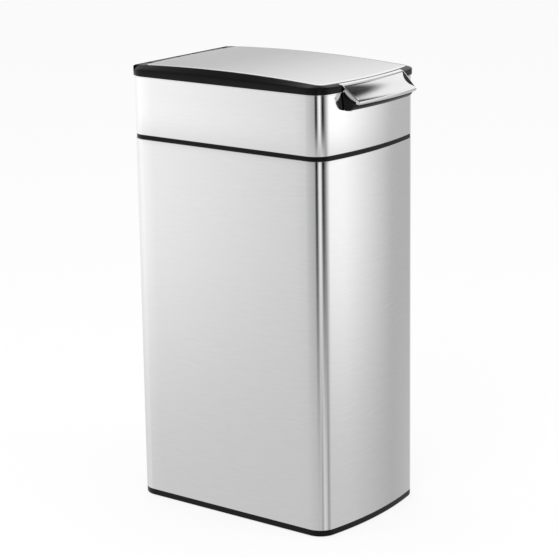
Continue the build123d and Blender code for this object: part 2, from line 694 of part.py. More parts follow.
def lid_liner():
    """Black liner that closes the lid from below, with a skirt in the throat."""
    top = LINER_TOP
    front = FRONT_CROWN + PANEL_FRONT + 10
    rear = LID_AXIS_Y - ROLL_R - WALL - 1
    liner = prism(plan(LINER_INSET), LINER_LOW, top)
    liner = liner & block((-BIG, BIG), (front, rear), (0, BIG))
    skirt_out = round_rect(THROAT_HALF, THROAT_FRONT, THROAT_BACK, THROAT_R, LINER_GAP)
    skirt_in = round_rect(THROAT_HALF, THROAT_FRONT, THROAT_BACK, THROAT_R, LINER_GAP + THIN_WALL)
    liner += prism(skirt_out, LINER_LOW - LINER_DROP, top) - prism(skirt_in, 0, LINER_LOW)
    for x, y in screw_places():
        liner -= rod_z(x, y, (0, top + 1), SCREW_R + SEATED)
    return liner


def lid_screws():
    """Screws up through the liner into the lid's frame, their heads below it."""
    screws = []
    for x, y in screw_places():
        screw = rod_z(x, y, (LINER_LOW, SCREW_TOP - 0.3), SCREW_R)
        screws.append(screw + rod_z(x, y, (LINER_LOW - SCREW_HEAD_H, LINER_LOW), SCREW_HEAD_R))
    return screws


def lid_bumpers():
    """Rubber pads under the lid's front that meet the ring's deck."""
    x = HALF - BUMPER_SIDE_IN
    y = FRONT_CROWN + BUMPER_FRONT_IN
    return [rod_z(side * x, y, (RING_TOP + BUMPER_GAP, LINER_LOW), BUMPER_R) for side in (-1, 1)]


def latch_catch():
    """Steel catch under the lid's front: a cross bar on two legs below the liner."""
    catch = rod_x((-CATCH_HALF, CATCH_HALF), CATCH_Y, CATCH_Z, CATCH_R)
    depth = (CATCH_Y - CATCH_R, CATCH_Y + CATCH_R)
    for side in (-1, 1):
        x = side * (CATCH_HALF - CATCH_R)
        catch += block((x - CATCH_R, x + CATCH_R), depth, (CATCH_Z, LINER_LOW))
    return catch


# ---------------------------------------------------------------------------------------------------
# Touch bar
# ---------------------------------------------------------------------------------------------------


def bar_ends(inset=0.0):
    """Everything between the steel bar's end planes, drawn in by inset."""
    return tapered_ends(BAR_HALF_TOP, BAR_TOP, BAR_HALF_LIP, BAR_LIP, inset)


# Places in the bar's upright section: reach in front of the front's crown, rise above the ring's top.
LIP_BACK = by_ring_top(22.5, -16.8)
UNDER_MIDDLE = by_ring_top(9.0, -11.2)
UNDER_TOP = by_ring_top(1.7, -1.0)
UNDER_NECK = by_ring_top(-1.6, 3.6)
FLANGE_UNDER = by_ring_top(-3.4, 8.2)
FLANGE_FRONT = by_ring_top(-0.3, 9.5)
LIP_CREST = by_ring_top(22.4, -10.2)
SCOOP_LOW = by_ring_top(19.6, -14.4)
SCOOP_MIDDLE = by_ring_top(9.9, -9.6)
SCOOP_HIGH = by_ring_top(3.4, -2.4)
SCOOP_NECK = by_ring_top(0.2, 4.1)
SCOOP_TOP = by_ring_top(-0.6, 9.0)
SCOOP_ABOVE = by_ring_top(0.6, 14.6)
CREST_ABOVE = by_ring_top(25.0, -6.4)
CREST_BACK = by_ring_top(22.0, -10.8)
CREST_INSIDE = by_ring_top(21.2, -13.0)
FOOT_CURVE = by_ring_top(14.2, -22.8)
FOOT_TIP = by_ring_top(17.5, -15.4)


def bar_form():
    """Outer form of the steel bar: top flange, sloping front, rounded lip, hollow underside."""
    section = [
        ThreePointArc(LIP_BACK, UNDER_MIDDLE, UNDER_TOP),
        Polyline(
            UNDER_TOP,
            UNDER_NECK,
            FLANGE_UNDER,
            out_front(BAR_TOP_REACH, BAR_TOP - FLANGE_T),
            out_front(BAR_TOP_REACH, BAR_TOP),
            FLANGE_FRONT,
            LIP_CREST,
        ),
        ThreePointArc(LIP_CREST, out_front(BAR_REACH, BAR_LIP), LIP_BACK),
    ]
    return around_front(make_face(section), BAR_HALF_TOP + 6)


def bar_cover():
    """Steel face of the bar, with a scoop between its raised ends."""
    cover = bar_form() & bar_ends()
    scoop = [
        ThreePointArc(SCOOP_LOW, SCOOP_MIDDLE, SCOOP_HIGH),
        Polyline(SCOOP_HIGH, SCOOP_NECK, SCOOP_TOP, SCOOP_ABOVE, CREST_ABOVE, CREST_BACK),
        ThreePointArc(CREST_BACK, CREST_INSIDE, SCOOP_LOW),
    ]
    cover -= around_front(make_face(scoop), BAR_HALF_TOP + 6) & bar_ends(BAR_END)
    for side in (-1, 1):
        cover -= bar_screw_rod(side, SCREW_R + SEATED)
    return cover


def bar_screw_place(side):
    """Where a screw holds the steel bar on its carrier."""
    bow = FRONT_R - sqrt(FRONT_R**2 - BAR_SCREW_X**2)
    return side * BAR_SCREW_X, FRONT_CROWN + bow - BAR_SCREW_REACH


def bar_screw_rod(side, radius):
    """Upright rod of a bar screw's shank."""
    x, y = bar_screw_place(side)
    return rod_z(x, y, (CARRIER_FOOT + SCREW_HEAD_H, RING_TOP - BAR_SCREW_DROP), radius)


def bar_screws():
    """Two screws up through the carrier into the steel bar's ends."""
    screws = []
    for side in (-1, 1):
        x, y = bar_screw_place(side)
        head = rod_z(x, y, (CARRIER_FOOT, CARRIER_FOOT + SCREW_HEAD_H), SCREW_HEAD_R)
        screws.append(bar_screw_rod(side, SCREW_R) + head)
    return screws


def upright_plate(x, points):
    """Plate between the pair x, with its outline given by points in the YZ plane."""
    face = make_face(Polyline(*[(x[0], y, z) for y, z in points], close=True))
    return extrude(face, amount=x[1] - x[0], dir=(1, 0, 0))


def bar_carrier():
    """Black lever behind the steel bar: backing, two arms through the ring's window, latch hook."""
    section = [
        Polyline(
            FOOT_TIP,
            UNDER_TOP,
            out_front(CARRIER_GAP, RING_TOP - 1.2),
            out_front(CARRIER_GAP, CARRIER_FOOT),
            out_front(CARRIER_FOOT_REACH, CARRIER_FOOT),
        ),
        ThreePointArc(out_front(CARRIER_FOOT_REACH, CARRIER_FOOT), FOOT_CURVE, FOOT_TIP),
    ]
    ends = tapered_ends(CARRIER_HALF_TOP, BAR_TOP, CARRIER_HALF_FOOT, CARRIER_FOOT)
    carrier = (around_front(make_face(section), CARRIER_HALF_TOP + 6) & ends) - bar_form()
    root = FRONT_CROWN - CARRIER_GAP - 2
    arm = [
        (root, PIVOT_Z - ARM_BELOW),
        (PIVOT_Y, PIVOT_Z - ARM_BELOW),
        (PIVOT_Y, PIVOT_Z + ARM_ABOVE),
        (root, PIVOT_Z + ARM_ABOVE),
    ]
    for side in (-1, 1):
        x = (side * ARM_X - ARM_W / 2, side * ARM_X + ARM_W / 2)
        carrier += upright_plate(x, arm) + rod_x(x, PIVOT_Y, PIVOT_Z, PIVOT_BOSS_R)
    nose_low = CATCH_Z + CATCH_R + NOSE_GAP
    nose_tip = CATCH_Y - CATCH_R - CATCH_REACH
    stem_back = PIVOT_Y + HOOK_STEM
    hook = arm[:2] + [
        (stem_back, PIVOT_Z),
        (stem_back, nose_low),
        (nose_tip, nose_low),
        (nose_tip, nose_low + NOSE_H / 2),
        (nose_tip - NOSE_H, nose_low + NOSE_H),
        (PIVOT_Y - HOOK_STEM / 2, nose_low + NOSE_H),
        (PIVOT_Y - HOOK_STEM / 2, PIVOT_Z + ARM_ABOVE),
        arm[3],
    ]
    hook_x = (-HOOK_HALF, HOOK_HALF)
    carrier += upright_plate(hook_x, hook) + rod_x(hook_x, PIVOT_Y, PIVOT_Z, PIVOT_BOSS_R)
    carrier -= rod_x((-BIG, BIG), PIVOT_Y, PIVOT_Z, PIVOT_PIN_R + RUNNING)
    for side in (-1, 1):
        x, y = bar_screw_place(side)
        carrier -= rod_z(x, y, (CARRIER_FOOT - 1, CARRIER_FOOT + SCREW_HEAD_H), SCREW_HEAD_R + SEATED)
        carrier -= rod_z(x, y, (CARRIER_FOOT, BAR_TOP), SCREW_R + SEATED)
    return carrier


def bar_pivot_pin():
    """Steel rod that the touch bar turns on."""
    half = PIVOT_LUG_X + PIVOT_LUG_W / 2 + 1
    return rod_x((-half, half), PIVOT_Y, PIVOT_Z, PIVOT_PIN_R)


def bar_spring():
    """Return spring around the bar's pin: a leg on the carrier and a leg on the throat's skirt."""
    low = PIVOT_Z - BAR_SPRING_R
    end = BAR_SPRING_X + SPRING_PITCH * BAR_SPRING_TURNS
    wire = BAR_SPRING_WIRE / 2
    spring = coil(BAR_SPRING_X, PIVOT_Y, PIVOT_Z, BAR_SPRING_R, BAR_SPRING_WIRE, BAR_SPRING_TURNS)
    spring += rod_y(BAR_SPRING_X, (FRONT_CROWN - CARRIER_GAP + SLIP, PIVOT_Y), low, wire)
    spring += rod_y(end, (PIVOT_Y, THROAT_FRONT - THIN_WALL - SLIP), low, wire)
    return spring


# ---------------------------------------------------------------------------------------------------
# Every piece, by the name of its node
# ---------------------------------------------------------------------------------------------------

PIECES = [
    base_tray,
    base_feet,
    body_shell,
    body_rim,
    bag_rim,
    ring_hinge_pins,
    ring_shell,
    ring_frame,
    rear_cover,
    lid_hinge_pin,
    lid_spring,
    bar_pivot_pin,
    bar_spring,
    lid_frame,
    lid_panel,
    lid_liner,
    lid_screws,
    lid_bumpers,
    latch_catch,
    bar_cover,
    bar_carrier,
    bar_screws,
]


def write_pieces():
    """Writes one STEP file for each piece, moved so that the origin is under the overall box."""
    os.makedirs("parts", exist_ok=True)
    for piece in PIECES:
        shape = piece()
        solids = shape if isinstance(shape, list) else shape.solids()
        group = Compound(children=[Pos(0, PLAN_Y, 0) * solid for solid in solids])
        export_step(group, f"parts/{piece.__name__}.step")


write_pieces()
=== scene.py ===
"""Looks of a slim brushed steel kitchen bin with a touch bar: camera, studio, visible surfaces and materials.

Shapes are worked out in millimetres about the middle of the bin's plan, with -Y the front and +Z up, and are
moved into the CAD frame and turned to metres when they are put into a mesh.
"""

import json
import math

import bmesh
import bpy
import numpy as np
from mathutils import Matrix, Vector


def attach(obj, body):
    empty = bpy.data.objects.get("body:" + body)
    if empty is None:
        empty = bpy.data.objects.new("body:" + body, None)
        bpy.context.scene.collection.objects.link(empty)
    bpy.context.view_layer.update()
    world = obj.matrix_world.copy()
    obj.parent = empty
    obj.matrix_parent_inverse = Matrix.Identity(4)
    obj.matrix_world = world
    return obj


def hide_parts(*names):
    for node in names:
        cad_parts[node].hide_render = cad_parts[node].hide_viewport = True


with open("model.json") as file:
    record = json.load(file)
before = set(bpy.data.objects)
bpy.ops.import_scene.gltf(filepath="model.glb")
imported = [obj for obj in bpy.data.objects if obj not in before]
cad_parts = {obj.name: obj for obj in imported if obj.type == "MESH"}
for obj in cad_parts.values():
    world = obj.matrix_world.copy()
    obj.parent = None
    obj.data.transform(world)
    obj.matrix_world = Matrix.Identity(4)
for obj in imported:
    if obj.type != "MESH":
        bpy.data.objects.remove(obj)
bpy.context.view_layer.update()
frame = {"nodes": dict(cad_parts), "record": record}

# ---------------------------------------------------------------------------------------------------
# Sizes in millimetres, the same as in the part's source
# ---------------------------------------------------------------------------------------------------

HALF = 118.5  # half the width
BACK = 170.1  # half the depth, without the front's bow
FRONT_BOW = 14.0
CORNER_R = 27.0
BASE_TOP = 10.6
SHELL_TOP = 545.8
RING_BOTTOM = 552.2
RING_TOP = 637.4
LIP_TOP = 646.0
CROWN_Z = 655.7
PLAN_Y = 14.2  # from the plan's middle to the CAD frame's origin
STEEL = 0.8
ROLL_IN = 4.5
FRONT_CROWN = -(BACK + FRONT_BOW)
FRONT_R = (HALF**2 + FRONT_BOW**2) / (2 * FRONT_BOW)
FRONT_CENTRE = FRONT_CROWN + FRONT_R
ARCH_Y = 20.5
ARCH_R = 2666.0
PANEL_SIDE = 12.0
PANEL_FRONT = 9.5
PANEL_BACK = 18.5
PANEL_FRONT_BOW = 10.0
PANEL_BACK_BOW = 6.0
PANEL_R = 10.0
PANEL_T = 0.8
WINDOW_HALF = 49.0  # window in the ring's front for the bar's arms: half width, and edges below the top
WINDOW_LOW = 22.9
WINDOW_HIGH = 6.4
PHOTO_SIDE = 558.0  # the photograph is square, this many picture points a side


# ---------------------------------------------------------------------------------------------------
# Camera: fitted to the edges of the bin in the photograph
# ---------------------------------------------------------------------------------------------------

SCALE = 1.08  # from the fit's units to millimetres


def make_camera():
    """Long-lens camera in front of the left side, a little above the lid."""
    yaw, pitch, roll = -0.9212523505957999, 0.2554972119981613, -0.01432854454166997
    back = Vector((math.sin(yaw) * math.cos(pitch), -math.cos(yaw) * math.cos(pitch), math.sin(pitch)))
    level = Vector((math.cos(yaw), math.sin(yaw), 0.0))
    above = back.cross(level)
    right = math.cos(roll) * level + math.sin(roll) * above
    up = -math.sin(roll) * level + math.cos(roll) * above
    place = (Vector((0.0, 0.0, 300.0)) + 2855.522 * back + 7.112 * right + 7.76 * up) * SCALE
    place.y += PLAN_Y
    data = bpy.data.cameras.new("camera")
    data.lens = 36.0 * 2092.536 / PHOTO_SIDE
    data.clip_end = 50.0
    camera = bpy.data.objects.new("camera", data)
    bpy.context.scene.collection.objects.link(camera)
    turn = Matrix((right, up, back)).transposed().to_4x4()
    camera.matrix_world = Matrix.Translation(place / 1000.0) @ turn
    bpy.context.scene.camera = camera


make_camera()


# ---------------------------------------------------------------------------------------------------
# Materials
# ---------------------------------------------------------------------------------------------------


def linear(code):
    """Linear red, green, blue and alpha of an sRGB hex colour."""
    parts = [int(code[n : n + 2], 16) / 255.0 for n in (1, 3, 5)]
    return [c / 12.92 if c <= 0.04045 else ((c + 0.055) / 1.055) ** 2.4 for c in parts] + [1.0]


def node(tree, kind, settings=(), inputs=()):
    """Adds a node: settings are its own attributes, inputs are values or sockets for its inputs."""
    made = tree.nodes.new(kind)
    for name, value in dict(settings).items():
        setattr(made, name, value)
    for name, value in dict(inputs).items():
        if isinstance(value, bpy.types.NodeSocket):
            tree.links.new(value, made.inputs[name])
        else:
            made.inputs[name].default_value = value
    return made


def new_material(name, surface):
    """A material with a Principled shader whose own sockets hold the surface's uniform values."""
    material = bpy.data.materials.new(name)
    material.use_nodes = True
    tree = material.node_tree
    shader = tree.nodes["Principled BSDF"]
    for socket, value in surface.items():
        shader.inputs[socket].default_value = value
    material.diffuse_color = surface["Base Color"]
    return material, tree, shader


def brushed_steel(name, grain, roughness, dark, light):
    """Stainless steel sheet, belt-brushed: a soft mirror with fine lines along the grain.

    grain is the pattern's scale along X, Y and Z in lines per metre, least along the lines. The real lines are
    0.05 mm apart, too fine for the picture, so they are drawn 0.3 to 0.4 mm apart and 20 to 35 mm long.
    """
    surface = {"Base Color": linear(light), "Metallic": 1.0, "Roughness": roughness}
    material, tree, shader = new_material(name, surface)
    place = node(tree, "ShaderNodeTexCoord")
    lines = node(tree, "ShaderNodeMapping", {}, {"Vector": place.outputs["Object"], "Scale": grain})
    noise = {"Vector": lines.outputs[0], "Scale": 1.0, "Detail": 3.0}
    fine = node(tree, "ShaderNodeTexNoise", {}, noise)
    tone = node(
        tree,
        "ShaderNodeMapRange",
        {},
        {"Value": fine.outputs["Fac"], "From Min": 0.3, "From Max": 0.7, "To Min": 0.0, "To Max": 1.0},
    )
    mix = node(tree, "ShaderNodeMix", {"data_type": "RGBA"}, {"Factor": tone.outputs[0]})
    mix.inputs[6].default_value = linear(dark)
    mix.inputs[7].default_value = linear(light)
    tree.links.new(mix.outputs[2], shader.inputs["Base Color"])
    rough = node(
        tree,
        "ShaderNodeMapRange",
        {},
        {"Value": tone.outputs[0], "To Min": roughness - 0.02, "To Max": roughness + 0.02},
    )
    tree.links.new(rough.outputs[0], shader.inputs["Roughness"])
    relief = {"Height": fine.outputs["Fac"], "Strength": 0.05, "Distance": 0.0001}
    bump = node(tree, "ShaderNodeBump", {}, relief)
    tree.links.new(bump.outputs[0], shader.inputs["Normal"])
    return material


def moulded_plastic(name, code, roughness):
    """ABS or polypropylene, moulded with a fine spark texture: dark, with a low soft sheen."""
    surface = {
        "Base Color": linear(code),
        "Roughness": roughness,
        "IOR": 1.5,
        "Specular IOR Level": 0.16,
    }
    material, tree, shader = new_material(name, surface)
    place = node(tree, "ShaderNodeTexCoord")
    # 0.35 mm spark grain
    noise = {"Vector": place.outputs["Object"], "Scale": 2800.0, "Detail": 2.0}
    grain = node(tree, "ShaderNodeTexNoise", {}, noise)
    rough = node(
        tree,
        "ShaderNodeMapRange",
        {},
        {"Value": grain.outputs["Fac"], "To Min": roughness - 0.06, "To Max": roughness + 0.06},
    )
    tree.links.new(rough.outputs[0], shader.inputs["Roughness"])
    relief = {"Height": grain.outputs["Fac"], "Strength": 0.15, "Distance": 0.0001}
    bump = node(tree, "ShaderNodeBump", {}, relief)
    tree.links.new(bump.outputs[0], shader.inputs["Normal"])
    return material


def plated_steel(name, code, roughness):
    """Zinc-plated steel: bright, with a faint cloudy crystal bloom a few millimetres across."""
    surface = {"Base Color": linear(code), "Metallic": 1.0, "Roughness": roughness}
    material, tree, shader = new_material(name, surface)
    place = node(tree, "ShaderNodeTexCoord")
    noise = {"Vector": place.outputs["Object"], "Scale": 400.0, "Detail": 3.0}
    bloom = node(tree, "ShaderNodeTexNoise", {}, noise)
    rough = node(
        tree,
        "ShaderNodeMapRange",
        {},
        {"Value": bloom.outputs["Fac"], "To Min": roughness - 0.08, "To Max": roughness + 0.08},
    )
    tree.links.new(rough.outputs[0], shader.inputs["Roughness"])
    return material


STEEL_WRAP = brushed_steel("brushed_steel_wrap", (45.0, 45.0, 3000.0), 0.12, "#D8D8D9", "#DFDFE0")
STEEL_RING = brushed_steel("brushed_steel_ring", (45.0, 45.0, 3000.0), 0.12, "#E0E0E1", "#E7E7E8")
STEEL_LID = brushed_steel("brushed_steel_lid", (30.0, 2400.0, 30.0), 0.15, "#E0E0E1", "#E7E7E8")
STEEL_BAR = brushed_steel("brushed_steel_bar", (30.0, 2400.0, 2400.0), 0.12, "#E0E0E1", "#E7E7E8")
BLACK = moulded_plastic("black_moulded_abs", "#0A0A0B", 0.3)
RUBBER = moulded_plastic("dark_rubber", "#2A2A2B", 0.8)
PLATED = plated_steel("zinc_plated_steel", "#C9C9C7", 0.3)
SPRING = plated_steel("drawn_spring_wire", "#9A9A9C", 0.25)

CAD_FINISH = {
    "black_plastic": BLACK,
    "grey_rubber": RUBBER,
    "pin_steel": PLATED,
    "spring_steel": SPRING,
    "brushed_steel": STEEL_WRAP,
}
SLOT_OF = {entry["node"]: entry["material_slot"] for entry in frame["record"]["subparts"]}
for name, cad in frame["nodes"].items():
    cad.data.materials.clear()
    cad.data.materials.append(CAD_FINISH[SLOT_OF[name]])


# ---------------------------------------------------------------------------------------------------
# Putting surfaces into meshes
# ---------------------------------------------------------------------------------------------------


def sheet_piece(name, points, faces, material, body, stands_for, sharp):
    """Makes a piece from points in millimetres and faces, turned outwards, and lets it ride on a body."""
    mesh = bpy.data.meshes.new(name)
    mesh.from_pydata(((np.asarray(points) + (0.0, PLAN_Y, 0.0)) / 1000.0).tolist(), [], faces)
    mesh.validate()
    work = bmesh.new()
    work.from_mesh(mesh)
    bmesh.ops.remove_doubles(work, verts=work.verts, dist=1e-7)
    bmesh.ops.recalc_face_normals(work, faces=work.faces)
    work.to_mesh(mesh)
    work.free()
    mesh.polygons.foreach_set("use_smooth", [True] * len(mesh.polygons))
    mesh.set_sharp_from_angle(angle=math.radians(sharp))
    mesh.materials.append(material)
    piece = bpy.data.objects.new(name, mesh)
    bpy.context.scene.collection.objects.link(piece)
    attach(piece, body)
    if stands_for:
        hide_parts(*stands_for)
    return piece


def grid_faces(rows, columns, close_rows, close_columns):
    """Quads of a grid of points: a point's number is row * columns + column."""
    i = np.arange(rows if close_rows else rows - 1)[:, None]
    j = np.arange(columns if close_columns else columns - 1)[None, :]
    after_i, after_j = (i + 1) % rows, (j + 1) % columns
    corners = [i * columns + j, i * columns + after_j, after_i * columns + after_j, after_i * columns + j]
    return np.stack([np.broadcast_to(c, (i.size, j.size)) for c in corners], axis=-1).reshape(-1, 4)


def arc_points(centre, radius, start, end, count):
    """Points on an arc from the start angle to the end angle, in degrees, ends included."""
    turn = np.radians(np.linspace(start, end, count))
    return np.c_[centre[0] + radius * np.cos(turn), centre[1] + radius * np.sin(turn)]


def plan_path():
    """The bin's plan, anticlockwise from the middle of its back, as points and outward normals.

    Straight back, left side and right side, four arcs at the corners and one shallow arc across the front.
    """
    corner_x = HALF - CORNER_R
    corner_y = FRONT_CENTRE - math.sqrt((FRONT_R - CORNER_R) ** 2 - corner_x**2)
    lean = math.degrees(math.asin(corner_x / (FRONT_R - CORNER_R)))
    places, normals = [], []

    def add_arc(centre, radius, angles):
        """Adds points of an arc about centre, with normals that point away from it."""
        out = np.c_[np.cos(np.radians(angles)), np.sin(np.radians(angles))]
        places.append(np.asarray(centre) + radius * out)
        normals.append(out)

    def add_line(start, end, count, normal):
        """Adds points between two ends, without the ends."""
        share = np.linspace(0.0, 1.0, count + 2)[1:-1, None]
        places.append(np.asarray(start) * (1 - share) + np.asarray(end) * share)
        normals.append(np.tile(normal, (count, 1)))

    back_y = BACK - CORNER_R
    add_line((corner_x, BACK), (-corner_x, BACK), 9, (0.0, 1.0))
    add_arc((-corner_x, back_y), CORNER_R, np.linspace(90, 180, 25))
    add_line((-HALF, back_y), (-HALF, corner_y), 15, (-1.0, 0.0))
    add_arc((-corner_x, corner_y), CORNER_R, np.linspace(180, 270 - lean, 33))
    # The front has a column at each edge of the bar's window.
    window = math.degrees(math.asin(WINDOW_HALF / FRONT_R))
    front = np.concatenate([
        np.linspace(-lean, -window, 12)[1:],
        np.linspace(-window, window, 25)[1:],
        np.linspace(window, lean, 12)[1:-1],
    ])
    add_arc((0.0, FRONT_CENTRE), FRONT_R, 270 + front)
    add_arc((corner_x, corner_y), CORNER_R, np.linspace(270 + lean, 360, 33))
    add_line((HALF, corner_y), (HALF, back_y), 15, (1.0, 0.0))
    add_arc((corner_x, back_y), CORNER_R, np.linspace(0, 90, 25))
    return np.concatenate(places), np.concatenate(normals)


PLAN, PLAN_OUT = plan_path()


def around_plan(profile):
    """Grid of points of a profile carried around the plan: each profile point is (inset, height)."""
    inset, height = np.asarray(profile, float).T
    flat = PLAN[None] - inset[:, None, None] * PLAN_OUT[None]
    up = np.broadcast_to(height[:, None, None], flat.shape[:2] + (1,))
    return np.concatenate([flat, up], axis=-1)


def rolled_edge(level, direction, radius=0.7):
    """Outer rounding of a rolled steel edge at a level: direction 1 for an upper edge, -1 for a lower one."""
    turn = np.radians(np.linspace(0.0, 90.0, 7))
    return np.c_[radius - radius * np.cos(turn), level - direction * (radius - radius * np.sin(turn))]


# ---------------------------------------------------------------------------------------------------
# Steel wraps of the body and the ring
# ---------------------------------------------------------------------------------------------------


def body_wrap():
    """Closed profile carried around the plan: outer wall, rolled upper edge, inner wall."""
    outer = [(0.0, BASE_TOP + 0.15), (0.0, 120.0), (0.0, 280.0), (0.0, 430.0), (0.0, SHELL_TOP - 12.0)]
    inner = [(ROLL_IN, SHELL_TOP), (ROLL_IN, SHELL_TOP - STEEL), (STEEL, SHELL_TOP - STEEL)]
    inner += [(STEEL, 430.0), (STEEL, 280.0), (STEEL, 120.0), (STEEL, BASE_TOP), (0.15, BASE_TOP)]
    profile = np.concatenate([outer, rolled_edge(SHELL_TOP, 1), inner])
    faces = grid_faces(len(profile), len(PLAN), True, True)
    points = around_plan(profile).reshape(-1, 3)
    return sheet_piece("body_wrap", points, faces.tolist(), STEEL_WRAP, "body", ["body_shell"], 32.0)


def ring_wrap():
    """Closed profile carried around the plan, rolled at both edges, with a fine groove under the upper one.

    The window for the bar's arms is left out of the outer and the inner wall, and four strips line it.
    """
    low, high = RING_TOP - WINDOW_LOW, RING_TOP - WINDOW_HIGH
    groove = RING_TOP - 1.6
    outer = [(0.0, low), (0.0, high), (0.0, groove - 0.75)]
    outer += [(0.25, groove - 0.6), (0.25, groove - 0.15), (0.0, groove)]
    under_top, over_bottom = RING_TOP - STEEL, RING_BOTTOM + STEEL
    inner = [(ROLL_IN, RING_TOP), (ROLL_IN, under_top), (STEEL, under_top), (STEEL, high), (STEEL, low)]
    inner += [(STEEL, over_bottom), (ROLL_IN, over_bottom), (ROLL_IN, RING_BOTTOM)]
    lower = rolled_edge(RING_BOTTOM, -1)[::-1]
    profile = np.concatenate([lower, outer, rolled_edge(RING_TOP, 1), inner])
    columns = len(PLAN)
    faces = grid_faces(len(profile), columns, True, True).reshape(len(profile), columns, 4)
    outer_low = len(lower)
    inner_high = len(profile) - 5
    inside = (np.abs(PLAN[:, 0]) < WINDOW_HALF + 0.01) & (PLAN[:, 1] < 0)
    first = int(np.argmax(inside))
    last = first + int(inside.sum()) - 1
    keep = np.ones(faces.shape[:2], bool)
    keep[outer_low, first:last] = False
    keep[inner_high, first:last] = False
    rows = {"out_low": outer_low, "out_high": outer_low + 1, "in_high": inner_high, "in_low": inner_high + 1}
    at = {key: row * columns for key, row in rows.items()}
    span = np.arange(first, last)
    out_low, out_high, in_low, in_high = (at[key] for key in ("out_low", "out_high", "in_low", "in_high"))
    sill = np.c_[out_low + span, out_low + span + 1, in_low + span + 1, in_low + span]
    head = np.c_[out_high + span + 1, out_high + span, in_high + span, in_high + span + 1]
    left = [[out_high + first, out_low + first, in_low + first, in_high + first]]
    right = [[out_low + last, out_high + last, in_high + last, in_low + last]]
    faces = np.concatenate([faces[keep], sill, head, left, right])
    points = around_plan(profile).reshape(-1, 3)
    return sheet_piece("ring_wrap", points, faces.tolist(), STEEL_RING, "ring", ["ring_shell"], 32.0)


body_wrap()
ring_wrap()


# ---------------------------------------------------------------------------------------------------
# Lid panel
# ---------------------------------------------------------------------------------------------------


def arch_z(y, drop=0.0):
    """Height of the lid's arch at y, on a cylinder across the bin, lowered by drop."""
    return CROWN_Z - ARCH_R + np.sqrt((ARCH_R - drop) ** 2 - (y - ARCH_Y) ** 2)


def panel_path(inset=0.0):
    """The panel's outline, anticlockwise from its back's middle: straight sides, bowed ends, round corners."""
    half = HALF - PANEL_SIDE - inset
    front = FRONT_CROWN + PANEL_FRONT + inset
    back = BACK - PANEL_BACK - inset
    radius = max(PANEL_R - inset, 2.0)
    ends = {
        "front": (front + PANEL_FRONT_BOW, PANEL_FRONT_BOW),
        "back": (back - PANEL_BACK_BOW, PANEL_BACK_BOW),
    }
    places = []
    for end, (corner_y, bow) in ends.items():
        sign = -1.0 if end == "front" else 1.0
        bow_r = (half**2 + bow**2) / (2 * bow)
        centre_y = corner_y + sign * bow - sign * bow_r
        x = half - radius
        y = centre_y + sign * math.sqrt((bow_r - radius) ** 2 - x**2)
        lean = math.degrees(math.asin(x / (bow_r - radius)))
        if end == "front":
            places.append(arc_points((-x, y), radius, 180, 270 - lean, 13))
            places.append(arc_points((0.0, centre_y), bow_r, 270 - lean, 270 + lean, 41)[1:-1])
            places.append(arc_points((x, y), radius, 270 + lean, 360, 13))
        else:
            places.append(arc_points((x, y), radius, 0, 90 - lean, 13))
            places.append(arc_points((0.0, centre_y), bow_r, 90 - lean, 90 + lean, 41)[1:-1])
            places.append(arc_points((-x, y), radius, 90 + lean, 180, 13))
    front_part = np.concatenate(places[:3])
    back_part = np.concatenate(places[3:])
    side = np.linspace(0.0, 1.0, 27)[1:-1, None]
    right_side = front_part[-1] * (1 - side) + back_part[0] * side
    left_side = back_part[-1] * (1 - side) + front_part[0] * side
    return np.concatenate([front_part, right_side, back_part, left_side])


def lid_panel_sheet():
    """Arched sheet: the outline drawn towards its middle in steps, its height on the arch's cylinder.

    The outer edge is eased over 0.35 mm and turns down the thickness of the sheet, and the underside goes back in.
    """
    outline = panel_path()
    middle = np.array([0.0, -10.0])
    shares = np.linspace(0.03, 1.0, 22)[:-1]
    rings = [(middle + (outline - middle) * share, 0.0) for share in shares]
    ease = np.radians(np.linspace(0.0, 90.0, 4))
    rings += [(panel_path(0.35 - 0.35 * math.sin(a)), 0.35 - 0.35 * math.cos(a)) for a in ease]
    rings += [(outline, PANEL_T)]
    back_in = (0.98, 0.8, 0.6, 0.4, 0.2, 0.03)
    rings += [(middle + (outline - middle) * share, PANEL_T) for share in back_in]
    grid = np.stack([np.c_[ring, arch_z(ring[:, 1], 0.0) - drop] for ring, drop in rings])
    rows, columns = grid.shape[:2]
    faces = grid_faces(rows, columns, False, True)
    poles = np.array([[*middle, arch_z(middle[1])], [*middle, arch_z(middle[1]) - PANEL_T]])
    top, under = rows * columns, rows * columns + 1
    j = np.arange(columns)
    after = (j + 1) % columns
    first = np.c_[np.full(columns, top), j, after]
    final = np.c_[np.full(columns, under), (rows - 1) * columns + after, (rows - 1) * columns + j]
    faces = faces[:, ::-1].tolist() + first[:, ::-1].tolist() + final[:, ::-1].tolist()
    points = np.concatenate([grid.reshape(-1, 3), poles])
    return sheet_piece("lid_panel_sheet", points, faces, STEEL_LID, "lid", ["lid_panel"], 50.0)


lid_panel_sheet()


# ---------------------------------------------------------------------------------------------------
# Lid's frame
# ---------------------------------------------------------------------------------------------------

LID_BOTTOM = 637.8
OVERHANG = 1.5
LID_AXIS_Y = 157.9
LID_AXIS_Z = 646.857
ROLL_R = 5.0
SEAT = 0.25  # fine gap around the panel
PROUD = 0.3  # panel above its frame
BAR_GAP = 77.3  # half the width that the frame leaves for the bar
BAR_CUT_REACH = 9.4  # from the lip's outline in to the wall behind the bar, at the middle
BAND_REACH = 10.75  # from the lip's outline in to the band's upper edge, at the middle


